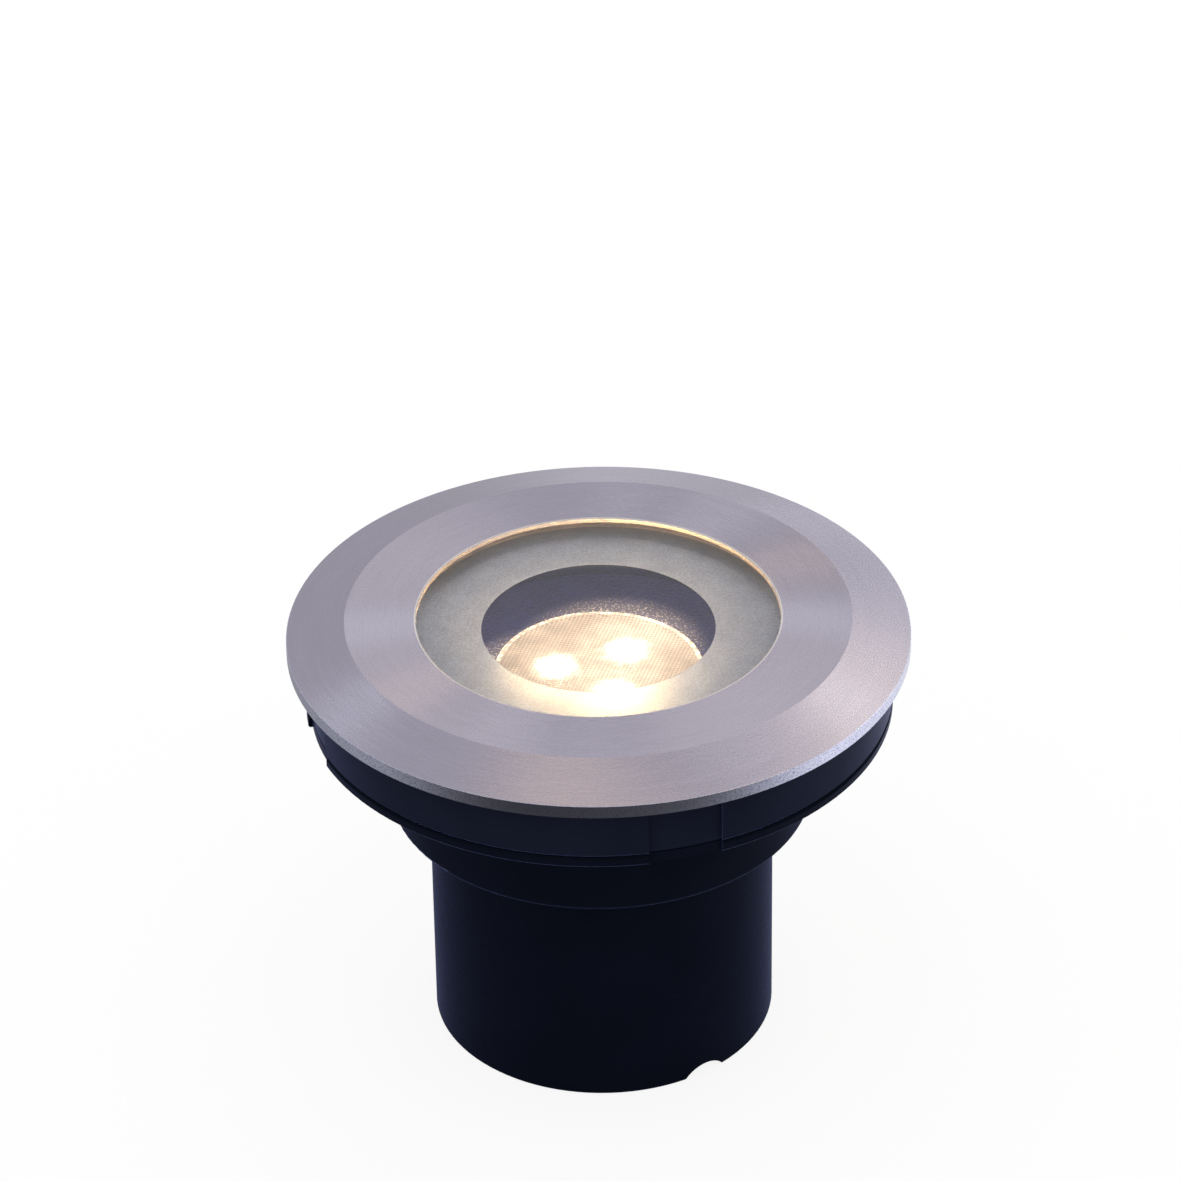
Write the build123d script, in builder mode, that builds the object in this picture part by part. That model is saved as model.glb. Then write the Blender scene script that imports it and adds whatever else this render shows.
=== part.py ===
# Recessed garden uplight: a lamp with a stainless trim ring that drops into a moulded ground sleeve.
# Millimetres, +Z up. The origin is the centre of the sleeve's lower edge, and -Y is the front.
import os
from math import degrees

from build123d import *

# Ground sleeve, from its lower edge up: tube, drum and flange
tube_radius = 30.8
tube_height = 45.5
drum_radius = 37.7
drum_height = 19.35
collar_radius = 52.0
flange_thickness = 1.9
sleeve_wall = 2.2
drum_edge_radius = 1.0
collar_edge_break = 0.35
tube_edge_break = 0.4
cable_notch_width = 8.6
cable_notch_height = 2.3
cable_notch_angle = 305.5

# Pry recesses, cut alike in the lamp's skirt and in the sleeve's flange
pry_count = 4
pry_width = 13.1
pry_depth = 0.8
pry_angle = 16.0

# Lamp body: skirt, web, cup, shoulder and can
seam_gap = 0.3
skirt_height = 9.85
skirt_wall = 2.2
skirt_edge_break = 0.3
web_thickness = 3.0
web_rib_count = 8
web_rib_thickness = 1.6
sleeve_clearance = 0.5
cup_wall = 2.0
shoulder_thickness = 4.3
can_wall = 2.0
can_length = 24.2
clip_space = 2.3
ear_count = 3
ear_radius = 3.3
ear_overhang = 2.0
end_ring_height = 6.0
end_ring_width = 4.4

# Trim ring
ring_radius = 55.0
ring_flat_radius = 44.7
ring_bevel_drop = 3.0
ring_rim_height = 2.4
ring_opening_radius = 32.1
ring_lip_thickness = 0.9
ring_relief_width = 2.9
ring_relief_depth = 0.2
ring_edge_break = 0.15
ring_lip_break = 0.15

# Cover glass and its gasket
glass_radius = 36.0
glass_thickness = 4.0
glass_clearance = 0.3
glass_edge_break = 0.5
gasket_thickness = 1.5

# Ring screws, from beneath through the web
ring_screw_count = 4
ring_screw_grip = 3.4

# Lens: plate, rim and three cones
led_count = 3
led_circle_radius = 7.85
led_angle = 51.0
lens_radius = 18.5
lens_height = 11.3
lens_plate_thickness = 1.7
lens_rim_width = 1.2
lens_rim_height = 0.25
cone_top_radius = 8.4
cone_bottom_radius = 3.2
cone_clearance = 0.3
cone_pocket_radius = 1.9
cone_pocket_depth = 2.4

# Lens holder
holder_wall = 1.5
holder_floor = 1.2
holder_hole_radius = 4.0
holder_pin_radius = 0.9
holder_pin_length = 1.2
holder_pin_circle = 14.5

# Light-emitting packages
package_width = 3.5
package_height = 0.8
dome_radius = 1.3

# Baffle round the lens
baffle_gap = 0.4
baffle_drop = 0.9
baffle_thickness = 1.4
baffle_skirt_wall = 1.4

# LED board, thermal pad and their screws
board_radius = 24.0
board_thickness = 1.6
board_screw_count = 3
board_screw_circle = 21.6
board_screw_angle = 30.0
pad_thickness = 0.5
pad_margin = 0.5

# The M3 screws that hold everything but the clips
small_screw_radius = 1.5
small_head_radius = 2.8
small_head_height = 1.9
small_screw_length = 4.6
screw_clearance = 0.05
hole_clearance = 0.3
screw_hole_spare = 0.4

# Heat sink
sink_thickness = 3.0
sink_clearance = 0.4
sink_screw_count = 3
sink_screw_angle = 30.0
sink_screw_grip = 3.2
sink_boss_radius = 3.8
fin_height = 6.0
fin_thickness = 1.4
fin_pitch = 4.2
fin_count = 11
fin_clearance = 0.8

# Rear cap, its posts, seal and screws
cap_thickness = 3.0
spigot_height = 4.5
spigot_wall = 3.4
spigot_clearance = 0.2
groove_depth = 1.8
groove_height = 1.8
groove_lift = 1.4
o_ring_clearance = 0.02
post_count = 3
post_radius = 2.4
post_height = 11.5
post_inset = 3.4
post_angle = 30.0

# Driver board and its parts
driver_clearance = 0.5
driver_thickness = 1.6
inductor_radius = 4.6
inductor_height = 6.4
inductor_flange = 1.2
inductor_waist_radius = 3.3
capacitor_radius = 2.5
capacitor_height = 5.4
capacitor_base = 5.3
capacitor_base_height = 1.0
capacitor_spacing = 6.6
rectifier_length = 4.8
rectifier_width = 4.0
rectifier_height = 2.2
chip_length = 5.0
chip_width = 4.0
chip_height = 1.6
leg_width = 0.6
leg_length = 1.1
leg_thickness = 0.3
terminal_width = 10.0
terminal_depth = 6.5
terminal_height = 6.0
terminal_inset = 7.0
terminal_bore_radius = 1.6
terminal_screw_radius = 1.7

# Leads from the driver board to the LED board
lead_radius = 0.7
lead_spacing = 2.6
lead_stand = 0.8
lead_clearance = 0.5

# Cable gland
gland_thread_radius = 5.9
gland_hex_width = 15.0
gland_hex_height = 4.5
gland_collar_length = 5.5
gland_bore_radius = 3.6
gland_thread_clearance = 0.1
washer_thickness = 1.2
washer_width = 1.9
locknut_width = 17.0
locknut_height = 3.4
gland_nut_height = 8.2
gland_nut_wall = 1.7
gland_nut_gap = 0.2
gland_nut_flute_count = 8
gland_nut_flute_radius = 1.2
gland_dome_thickness = 1.6
seal_wall = 1.5
seal_length = 6.6
seal_clearance = 0.05
seal_taper = 1.0
cable_radius = 3.0

# Spring clips and their screws
clip_count = 3
clip_angle = 60.0
clip_width = 7.0
clip_thickness = 0.4
clip_clearance = 0.3
clip_inset = 3.0
clip_length = 17.0
clip_pad_length = 5.4
clip_screw_radius = 1.25
clip_head_radius = 2.3
clip_head_height = 1.0
clip_screw_length = 3.4
clip_boss_radius = 2.8
clip_boss_height = 3.0
seat_gap = 0.02

# One overrun for every cut
cut = 1.0

# Heights and radii that several pieces share
flange_bottom = tube_height + drum_height
flange_top = flange_bottom + flange_thickness
skirt_bottom = flange_top + seam_gap
body_top = skirt_bottom + skirt_height
web_bottom = body_top - web_thickness
ring_bottom = body_top + ring_relief_depth
ring_edge = ring_bottom + ring_rim_height
ring_top = ring_edge + ring_bevel_drop
glass_top = ring_top - ring_lip_thickness
glass_bottom = glass_top - glass_thickness
gasket_bottom = glass_bottom - gasket_thickness
glass_seat_radius = glass_radius + glass_clearance

tube_inner = tube_radius - sleeve_wall
drum_inner = drum_radius - sleeve_wall
drum_floor = tube_height + sleeve_wall
skirt_inner = collar_radius - skirt_wall
cup_outer = drum_inner - sleeve_clearance
cup_inner = cup_outer - cup_wall
can_outer = tube_inner - clip_space
can_inner = can_outer - can_wall
shoulder_bottom = drum_floor + sleeve_clearance
shoulder_top = shoulder_bottom + shoulder_thickness
can_bottom = shoulder_bottom - can_length
end_ring_inner = can_outer - end_ring_width
ear_circle = can_outer + ear_overhang - ear_radius

sink_top = shoulder_top + sink_thickness
pad_top = sink_top + pad_thickness
board_top = pad_top + board_thickness
lens_top = board_top + lens_height
plate_bottom = lens_top - lens_plate_thickness
baffle_top = lens_top - baffle_drop
baffle_outer = cup_inner - sink_clearance
baffle_inner = baffle_outer - baffle_skirt_wall
sink_screw_circle = (board_radius + baffle_inner) / 2
web_width = skirt_inner - cup_outer
ring_screw_circle = cup_outer + web_width / 2

cap_bottom = can_bottom - cap_thickness
driver_radius = end_ring_inner - driver_clearance
post_circle = driver_radius - post_inset
driver_bottom = can_bottom + post_height
driver_top = driver_bottom + driver_thickness
spigot_outer = end_ring_inner - spigot_clearance
spigot_inner = spigot_outer - spigot_wall
terminal_setback = driver_radius - terminal_inset
lead_passage_radius = lead_spacing / 2 + lead_radius + lead_clearance

groove_bottom = can_bottom + groove_lift
groove_radius = end_ring_inner - groove_depth

washer_bottom = cap_bottom - washer_thickness
hex_bottom = washer_bottom - gland_hex_height
collar_bottom = hex_bottom - gland_collar_length
gland_nut_top = hex_bottom - gland_nut_gap
gland_nut_bottom = gland_nut_top - gland_nut_height


def corner(section, radius, height):
    """The corner of a half-section at this radius and height."""
    return section.vertices().sort_by_distance((radius, height))[0]


def pan_screw(shank_radius, shank_length, head_radius, head_height):
    """A pan-head screw on the Z axis: its head stands on the origin's plane, its shank hangs below."""
    with BuildPart() as screw:
        with BuildSketch(Plane.XZ) as screw_section:
            with BuildLine():
                Polyline(
                    (0, -shank_length),
                    (shank_radius, -shank_length),
                    (shank_radius, 0),
                    (head_radius, 0),
                    (head_radius, head_height),
                    (0, head_height),
                    close=True,
                )
            make_face()
            chamfer(corner(screw_section, head_radius, head_height), head_height / 2)
        revolve(axis=Axis.Z)
    return screw.part


def pry_recesses(bottom, top):
    """The four shallow sectors that are cut out of the collar between two heights."""
    with BuildPart() as sectors:
        with BuildSketch(Plane.XY.offset(bottom)):
            with PolarLocations(collar_radius, pry_count, start_angle=pry_angle):
                Rectangle(2 * (pry_depth + cut), pry_width)
            Circle(collar_radius - pry_depth, mode=Mode.SUBTRACT)
        extrude(amount=top - bottom)
    return sectors.part


# The sleeve is one thin-walled turned form: flange, drum and tube, open at both ends
with BuildPart() as ground_sleeve:
    with BuildSketch(Plane.XZ) as sleeve_section:
        with BuildLine():
            Polyline(
                (tube_inner, 0),
                (tube_radius, 0),
                (tube_radius, tube_height),
                (drum_radius, tube_height),
                (drum_radius, flange_bottom),
                (collar_radius, flange_bottom),
                (collar_radius, flange_top),
                (drum_inner, flange_top),
                (drum_inner, drum_floor),
                (tube_inner, drum_floor),
                close=True,
            )
        make_face()
        fillet(corner(sleeve_section, drum_radius, tube_height), drum_edge_radius)
        chamfer(corner(sleeve_section, collar_radius, flange_bottom), collar_edge_break)
        chamfer(corner(sleeve_section, collar_radius, flange_top), collar_edge_break)
        chamfer(corner(sleeve_section, tube_radius, 0), tube_edge_break)
    revolve(axis=Axis.Z)
    add(pry_recesses(flange_bottom - cut, flange_top + cut), mode=Mode.SUBTRACT)
    # An arch for the cable in the lower edge
    arch_radius = (cable_notch_width**2 / 4 + cable_notch_height**2) / (2 * cable_notch_height)
    with PolarLocations(tube_radius, 1, start_angle=cable_notch_angle):
        with Locations((0, 0, cable_notch_height - arch_radius)):
            Cylinder(arch_radius, 2 * (sleeve_wall + cut), rotation=(0, 90, 0), mode=Mode.SUBTRACT)

# The lamp body: skirt and web under the ring, cup for the lens, shoulder and can below
with BuildPart() as lamp_body:
    with BuildSketch(Plane.XZ) as body_section:
        with BuildLine():
            Polyline(
                (collar_radius, skirt_bottom),
                (collar_radius, body_top),
                (glass_seat_radius, body_top),
                (glass_seat_radius, gasket_bottom),
                (cup_inner, gasket_bottom),
                (cup_inner, shoulder_top),
                (can_inner, shoulder_top),
                (can_inner, can_bottom + end_ring_height),
                (end_ring_inner, can_bottom + end_ring_height),
                (end_ring_inner, can_bottom),
                (can_outer, can_bottom),
                (can_outer, shoulder_bottom),
                (cup_outer, shoulder_bottom),
                (cup_outer, web_bottom),
                (skirt_inner, web_bottom),
                (skirt_inner, skirt_bottom),
                close=True,
            )
        make_face()
        chamfer(corner(body_section, collar_radius, skirt_bottom), skirt_edge_break)
        chamfer(corner(body_section, cup_outer, shoulder_bottom), cup_wall / 2)
    revolve(axis=Axis.Z)
    # Ribs between cup and skirt, under the web
    rib_start = pry_angle + 180 / web_rib_count
    with BuildSketch(Plane.XY.offset(skirt_bottom)):
        with PolarLocations(ring_screw_circle, web_rib_count, start_angle=rib_start):
            Rectangle(web_width + skirt_wall, web_rib_thickness)
    extrude(amount=web_bottom - skirt_bottom)
    # Bosses in the shoulder for the heat sink's screws
    with BuildSketch(Plane.XY.offset(shoulder_bottom)):
        with PolarLocations(sink_screw_circle, sink_screw_count, start_angle=sink_screw_angle):
            Circle(sink_boss_radius)
    extrude(amount=shoulder_thickness)
    # Ears that take the rear cap's screws
    with BuildSketch(Plane.XY.offset(can_bottom)):
        with PolarLocations(ear_circle, ear_count):
            Circle(ear_radius)
        Circle(end_ring_inner, mode=Mode.SUBTRACT)
    extrude(amount=end_ring_height)
    with BuildSketch(Plane.XY.offset(can_bottom)):
        with PolarLocations(ear_circle, ear_count):
            Circle(small_screw_radius + screw_clearance)
    extrude(amount=small_screw_length + screw_hole_spare - cap_thickness, mode=Mode.SUBTRACT)
    # Bosses inside the can for the clip screws
    clip_screw_height = shoulder_bottom - clip_inset - clip_pad_length / 2
    with PolarLocations(0, clip_count, start_angle=clip_angle):
        with Locations((can_outer - can_wall / 2, 0, clip_screw_height)):
            Cylinder(
                clip_boss_radius,
                clip_boss_height + can_wall / 2,
                rotation=(0, -90, 0),
                align=(Align.CENTER, Align.CENTER, Align.MIN),
            )
        with Locations((can_outer + cut, 0, clip_screw_height)):
            Cylinder(
                clip_screw_radius + screw_clearance,
                clip_screw_length + cut,
                rotation=(0, -90, 0),
                align=(Align.CENTER, Align.CENTER, Align.MIN),
                mode=Mode.SUBTRACT,
            )
    # Holes for the ring screws and for the heat sink's screws
    with BuildSketch(Plane.XY.offset(web_bottom - cut)):
        with PolarLocations(ring_screw_circle, ring_screw_count, start_angle=pry_angle + 180 / ring_screw_count):
            Circle(small_screw_radius + hole_clearance)
    extrude(amount=web_thickness + 2 * cut, mode=Mode.SUBTRACT)
    with BuildSketch(Plane.XY.offset(shoulder_top - sink_screw_grip - screw_hole_spare)):
        with PolarLocations(sink_screw_circle, sink_screw_count, start_angle=sink_screw_angle):
            Circle(small_screw_radius + screw_clearance)
    extrude(amount=sink_screw_grip + screw_hole_spare, mode=Mode.SUBTRACT)
    add(pry_recesses(skirt_bottom - cut, body_top + cut), mode=Mode.SUBTRACT)

# The trim ring is turned from solid, with a recess beneath for the glass and a shallow relief
# under its overhang, so that it bears on the lamp body alone
with BuildPart() as trim_ring:
    with BuildSketch(Plane.XZ) as ring_section:
        with BuildLine():
            Polyline(
                (glass_seat_radius, body_top),
                (ring_radius - ring_relief_width, body_top),
                (ring_radius - ring_relief_width, ring_bottom),
                (ring_radius, ring_bottom),
                (ring_radius, ring_edge),
                (ring_flat_radius, ring_top),
                (ring_opening_radius, ring_top),
                (ring_opening_radius, glass_top),
                (glass_seat_radius, glass_top),
                close=True,
            )
        make_face()
        chamfer(corner(ring_section, ring_radius, ring_bottom), ring_edge_break)
        chamfer(corner(ring_section, ring_opening_radius, ring_top), ring_lip_break)
    revolve(axis=Axis.Z)
    with BuildSketch(Plane.XY.offset(body_top)):
        with PolarLocations(ring_screw_circle, ring_screw_count, start_angle=pry_angle + 180 / ring_screw_count):
            Circle(small_screw_radius + screw_clearance)
    extrude(amount=ring_screw_grip + screw_hole_spare, mode=Mode.SUBTRACT)

with BuildPart() as cover_glass:
    with Locations((0, 0, glass_bottom)):
        Cylinder(glass_radius, glass_thickness, align=(Align.CENTER, Align.CENTER, Align.MIN))
    chamfer(cover_glass.edges().filter_by(GeomType.CIRCLE), glass_edge_break)

with BuildPart() as glass_gasket:
    with BuildSketch(Plane.XY.offset(gasket_bottom)):
        Circle(glass_radius)
        Circle(cup_inner + glass_clearance, mode=Mode.SUBTRACT)
    extrude(amount=gasket_thickness)

ring_screw = pan_screw(
    small_screw_radius, web_thickness + ring_screw_grip, small_head_radius, small_head_height
)
with BuildPart() as ring_screws:
    with Locations((0, 0, web_bottom)):
        with PolarLocations(ring_screw_circle, ring_screw_count, start_angle=pry_angle + 180 / ring_screw_count):
            add(ring_screw, rotation=(180, 0, 0))

# The heat sink: a disc on the lamp body's shoulder with straight fins down into the can
with BuildPart() as heat_sink:
    with BuildSketch(Plane.XY.offset(shoulder_top)):
        Circle(cup_inner - sink_clearance)
    extrude(amount=sink_thickness)
    with BuildSketch(Plane.XY.offset(shoulder_top)):
        with GridLocations(fin_pitch, 0, fin_count, 1):
            Rectangle(fin_thickness, 2 * can_inner)
        Circle(can_inner - fin_clearance, mode=Mode.INTERSECT)
    extrude(amount=-fin_height)
    with BuildSketch(Plane.XY.offset(shoulder_top)):
        with PolarLocations(sink_screw_circle, sink_screw_count, start_angle=sink_screw_angle):
            Circle(sink_boss_radius + fin_clearance)
    extrude(amount=-fin_height, mode=Mode.SUBTRACT)
    with BuildSketch(Plane.XY.offset(shoulder_top - fin_height)):
        Circle(lead_passage_radius)
    extrude(amount=fin_height + sink_thickness, mode=Mode.SUBTRACT)
    with BuildSketch(Plane.XY.offset(shoulder_top)):
        with PolarLocations(sink_screw_circle, sink_screw_count, start_angle=sink_screw_angle):
            Circle(small_screw_radius + hole_clearance)
    extrude(amount=sink_thickness, mode=Mode.SUBTRACT)
    board_screw_depth = small_screw_length - board_thickness - pad_thickness + screw_hole_spare
    with BuildSketch(Plane.XY.offset(sink_top)):
        with PolarLocations(board_screw_circle, board_screw_count, start_angle=board_screw_angle):
            Circle(small_screw_radius + screw_clearance)
    extrude(amount=-board_screw_depth, mode=Mode.SUBTRACT)

sink_screw = pan_screw(
    small_screw_radius, sink_thickness + sink_screw_grip, small_head_radius, small_head_height
)
with BuildPart() as heat_sink_screws:
    with Locations((0, 0, sink_top)):
        with PolarLocations(sink_screw_circle, sink_screw_count, start_angle=sink_screw_angle):
            add(sink_screw)


def drilled_disc(bottom, thickness, radius):
    """A disc with holes for the board screws."""
    with BuildPart() as disc:
        with BuildSketch(Plane.XY.offset(bottom)):
            Circle(radius)
            with PolarLocations(board_screw_circle, board_screw_count, start_angle=board_screw_angle):
                Circle(small_screw_radius + hole_clearance, mode=Mode.SUBTRACT)
        extrude(amount=thickness)
    return disc.part


with BuildPart() as thermal_pad:
    add(drilled_disc(sink_top, pad_thickness, board_radius - pad_margin))
    with BuildSketch(Plane.XY.offset(sink_top)):
        Circle(lead_passage_radius)
    extrude(amount=pad_thickness, mode=Mode.SUBTRACT)

with BuildPart() as led_board:
    add(drilled_disc(pad_top, board_thickness, board_radius))
    with BuildSketch(Plane.XY.offset(board_top)):
        with GridLocations(lead_spacing, 0, 2, 1):
            Circle(lead_radius + screw_clearance)
        with PolarLocations(holder_pin_circle, led_count, start_angle=led_angle + 180 / led_count):
            Circle(holder_pin_radius + screw_clearance)
    extrude(amount=-board_thickness, mode=Mode.SUBTRACT)

board_screw = pan_screw(small_screw_radius, small_screw_length, small_head_radius, small_head_height)
with BuildPart() as board_screws:
    with Locations((0, 0, board_top)):
        with PolarLocations(board_screw_circle, board_screw_count, start_angle=board_screw_angle):
            add(board_screw)

with BuildPart() as led_emitters:
    with Locations((0, 0, board_top)):
        with PolarLocations(led_circle_radius, led_count, start_angle=led_angle):
            Box(
                package_width,
                package_width,
                package_height,
                align=(Align.CENTER, Align.CENTER, Align.MIN),
            )
    with Locations((0, 0, board_top + package_height)):
        with PolarLocations(led_circle_radius, led_count, start_angle=led_angle):
            Sphere(dome_radius, arc_size1=0, align=(Align.CENTER, Align.CENTER, Align.MIN))

# The lens: a rimmed plate over three cones that gather the light
with BuildPart() as lens:
    with BuildSketch(Plane.XY.offset(plate_bottom)):
        Circle(lens_radius)
    extrude(amount=lens_plate_thickness)
    with BuildSketch(Plane.XY.offset(lens_top)):
        Circle(lens_radius - lens_rim_width)
    extrude(amount=-lens_rim_height, mode=Mode.SUBTRACT)
    cone_bottom = board_top + package_height + cone_clearance
    with Locations((0, 0, cone_bottom)):
        with PolarLocations(led_circle_radius, led_count, start_angle=led_angle):
            Cone(
                cone_bottom_radius,
                cone_top_radius,
                plate_bottom - cone_bottom,
                align=(Align.CENTER, Align.CENTER, Align.MIN),
            )
            Cylinder(
                cone_pocket_radius,
                cone_pocket_depth,
                align=(Align.CENTER, Align.CENTER, Align.MIN),
                mode=Mode.SUBTRACT,
            )

with BuildPart() as lens_holder:
    with BuildSketch(Plane.XY.offset(board_top)):
        Circle(lens_radius)
        with PolarLocations(led_circle_radius, led_count, start_angle=led_angle):
            Circle(holder_hole_radius, mode=Mode.SUBTRACT)
        Circle(lead_passage_radius, mode=Mode.SUBTRACT)
    extrude(amount=holder_floor)
    with BuildSketch(Plane.XY.offset(board_top)):
        Circle(lens_radius)
        Circle(lens_radius - holder_wall, mode=Mode.SUBTRACT)
    extrude(amount=plate_bottom - board_top)
    with BuildSketch(Plane.XY.offset(board_top)):
        with PolarLocations(holder_pin_circle, led_count, start_angle=led_angle + 180 / led_count):
            Circle(holder_pin_radius)
    extrude(amount=-holder_pin_length)

# The baffle: a ring round the lens on an upright wall that stands on the heat sink
with BuildPart() as baffle:
    with BuildSketch(Plane.XZ):
        with BuildLine():
            Polyline(
                (lens_radius + baffle_gap, baffle_top),
                (lens_radius + baffle_gap, baffle_top - baffle_thickness),
                (baffle_inner, baffle_top - baffle_thickness),
                (baffle_inner, sink_top),
                (baffle_outer, sink_top),
                (baffle_outer, baffle_top),
                close=True,
            )
        make_face()
    revolve(axis=Axis.Z)

# The rear cap closes the can, carries the gland below it and the driver board on posts
with BuildPart() as rear_cap:
    with BuildSketch(Plane.XY.offset(cap_bottom)):
        Circle(can_outer)
        with PolarLocations(ear_circle, ear_count):
            Circle(ear_radius)
    extrude(amount=cap_thickness)
    with BuildSketch(Plane.XY.offset(can_bottom)):
        Circle(spigot_outer)
        Circle(spigot_inner, mode=Mode.SUBTRACT)
    extrude(amount=spigot_height)
    with BuildSketch(Plane.XY.offset(can_bottom)):
        with PolarLocations(post_circle, post_count, start_angle=post_angle):
            Circle(post_radius)
    extrude(amount=post_height)
    with BuildSketch(Plane.XY.offset(groove_bottom)):
        Circle(end_ring_inner)
        Circle(groove_radius, mode=Mode.SUBTRACT)
    extrude(amount=groove_height, mode=Mode.SUBTRACT)
    with BuildSketch(Plane.XY.offset(driver_bottom)):
        with PolarLocations(post_circle, post_count, start_angle=post_angle):
            Circle(small_screw_radius + screw_clearance)
    extrude(amount=-(small_screw_length - driver_thickness + screw_hole_spare), mode=Mode.SUBTRACT)
    with BuildSketch(Plane.XY.offset(cap_bottom)):
        Circle(gland_thread_radius + hole_clearance)
        with PolarLocations(ear_circle, ear_count):
            Circle(small_screw_radius + hole_clearance)
    extrude(amount=cap_thickness, mode=Mode.SUBTRACT)

# Squeezed between groove and can, the seal has a square section
with BuildPart() as cap_o_ring:
    with BuildSketch(Plane.XY.offset(groove_bottom + o_ring_clearance)):
        Circle(end_ring_inner - o_ring_clearance)
        Circle(groove_radius + o_ring_clearance, mode=Mode.SUBTRACT)
    extrude(amount=groove_height - 2 * o_ring_clearance)

cap_screw = pan_screw(small_screw_radius, small_screw_length, small_head_radius, small_head_height)
with BuildPart() as cap_screws:
    with Locations((0, 0, cap_bottom)):
        with PolarLocations(ear_circle, ear_count):
            add(cap_screw, rotation=(180, 0, 0))

with BuildPart() as driver_board:
    with BuildSketch(Plane.XY.offset(driver_bottom)):
        Circle(driver_radius)
        with PolarLocations(post_circle, post_count, start_angle=post_angle):
            Circle(small_screw_radius + hole_clearance, mode=Mode.SUBTRACT)
    extrude(amount=driver_thickness)

with BuildPart() as driver_screws:
    with Locations((0, 0, driver_top)):
        with PolarLocations(post_circle, post_count, start_angle=post_angle):
            add(board_screw)

# Parts on the driver board: places are shares of its radius, seen from above
inductor_place_shares = (0.0, 0.52)
capacitor_place_shares = (-0.45, -0.25)
rectifier_place_shares = (0.5, -0.02)
chip_place_shares = (0.45, -0.45)

with BuildPart() as driver_inductor:
    with BuildSketch(Plane.XZ):
        with BuildLine():
            Polyline(
                (0, 0),
                (inductor_radius, 0),
                (inductor_radius, inductor_flange),
                (inductor_waist_radius, inductor_flange),
                (inductor_waist_radius, inductor_height - inductor_flange),
                (inductor_radius, inductor_height - inductor_flange),
                (inductor_radius, inductor_height),
                (0, inductor_height),
                close=True,
            )
        make_face()
    revolve(axis=Axis.Z)

with BuildPart() as driver_capacitors:
    with GridLocations(0, capacitor_spacing, 1, 2):
        Box(
            capacitor_base,
            capacitor_base,
            capacitor_base_height,
            align=(Align.CENTER, Align.CENTER, Align.MIN),
        )
        Cylinder(capacitor_radius, capacitor_height, align=(Align.CENTER, Align.CENTER, Align.MIN))


def legged_package(length, width, height, leg_rows):
    """A chip body with rows of flat legs along its two long sides."""
    with BuildPart() as package:
        with Locations((0, 0, leg_thickness)):
            Box(width, length, height - leg_thickness, align=(Align.CENTER, Align.CENTER, Align.MIN))
        with GridLocations(width + leg_length, length / leg_rows, 2, leg_rows):
            Box(
                leg_length + leg_thickness,
                leg_width,
                2 * leg_thickness,
                align=(Align.CENTER, Align.CENTER, Align.MIN),
            )
    return package.part


with BuildPart() as bridge_rectifier:
    add(legged_package(rectifier_length, rectifier_width, rectifier_height, 2))

with BuildPart() as driver_chip:
    add(legged_package(chip_length, chip_width, chip_height, 4))

for piece, place_shares in (
    (driver_inductor, inductor_place_shares),
    (driver_capacitors, capacitor_place_shares),
    (bridge_rectifier, rectifier_place_shares),
    (driver_chip, chip_place_shares),
):
    x_share, y_share = place_shares
    piece.part = piece.part.moved(Location((driver_radius * x_share, driver_radius * y_share, driver_top)))

# The terminal block hangs under the driver board: wire mouths below, screws to the centre
with BuildPart() as terminal_block:
    with Locations((0, terminal_setback, driver_bottom)):
        Box(
            terminal_width,
            terminal_depth,
            terminal_height,
            align=(Align.CENTER, Align.CENTER, Align.MAX),
        )
    with Locations((0, terminal_setback, driver_bottom - terminal_height)):
        with GridLocations(terminal_width / 2, 0, 2, 1):
            Cylinder(
                terminal_bore_radius,
                terminal_height / 2,
                align=(Align.CENTER, Align.CENTER, Align.MIN),
                mode=Mode.SUBTRACT,
            )
    with Locations((0, terminal_setback - terminal_depth / 2, driver_bottom - terminal_height / 3)):
        with GridLocations(terminal_width / 2, 0, 2, 1):
            Cylinder(
                terminal_screw_radius,
                terminal_depth / 4,
                rotation=(90, 0, 0),
                mode=Mode.SUBTRACT,
            )

# Each lead rises from the driver board through the heat sink to its hole in the LED board
leads = []
for side in (-1, 1):
    with BuildPart() as lead:
        with Locations((side * lead_spacing / 2, 0, driver_top)):
            Cylinder(
                lead_radius,
                board_top + lead_stand - driver_top,
                align=(Align.CENTER, Align.CENTER, Align.MIN),
            )
    leads.append(lead)
lead_positive, lead_negative = leads

# The cable gland in the cap: body, washer, locknut, seal and domed nut
with BuildPart() as gland_body:
    with BuildSketch(Plane.XY.offset(hex_bottom)):
        RegularPolygon(gland_hex_width / 2, 6, major_radius=False)
    extrude(amount=gland_hex_height)
    with BuildSketch(Plane.XY.offset(collar_bottom)):
        Circle(gland_thread_radius)
    extrude(amount=can_bottom + locknut_height - collar_bottom)
    with BuildSketch(Plane.XY.offset(collar_bottom)):
        Circle(gland_bore_radius)
    extrude(amount=can_bottom + locknut_height - collar_bottom, mode=Mode.SUBTRACT)
    with BuildSketch(Plane.XY.offset(collar_bottom)):
        Circle(cable_radius + seal_wall + seal_clearance)
    extrude(amount=gland_collar_length, mode=Mode.SUBTRACT)

with BuildPart() as gland_washer:
    with BuildSketch(Plane.XY.offset(washer_bottom)):
        Circle(gland_thread_radius + gland_thread_clearance + washer_width)
        Circle(gland_thread_radius + gland_thread_clearance, mode=Mode.SUBTRACT)
    extrude(amount=washer_thickness)

with BuildPart() as gland_locknut:
    with BuildSketch(Plane.XY.offset(can_bottom)):
        RegularPolygon(locknut_width / 2, 6, major_radius=False)
        Circle(gland_thread_radius + gland_thread_clearance, mode=Mode.SUBTRACT)
    extrude(amount=locknut_height)

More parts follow.
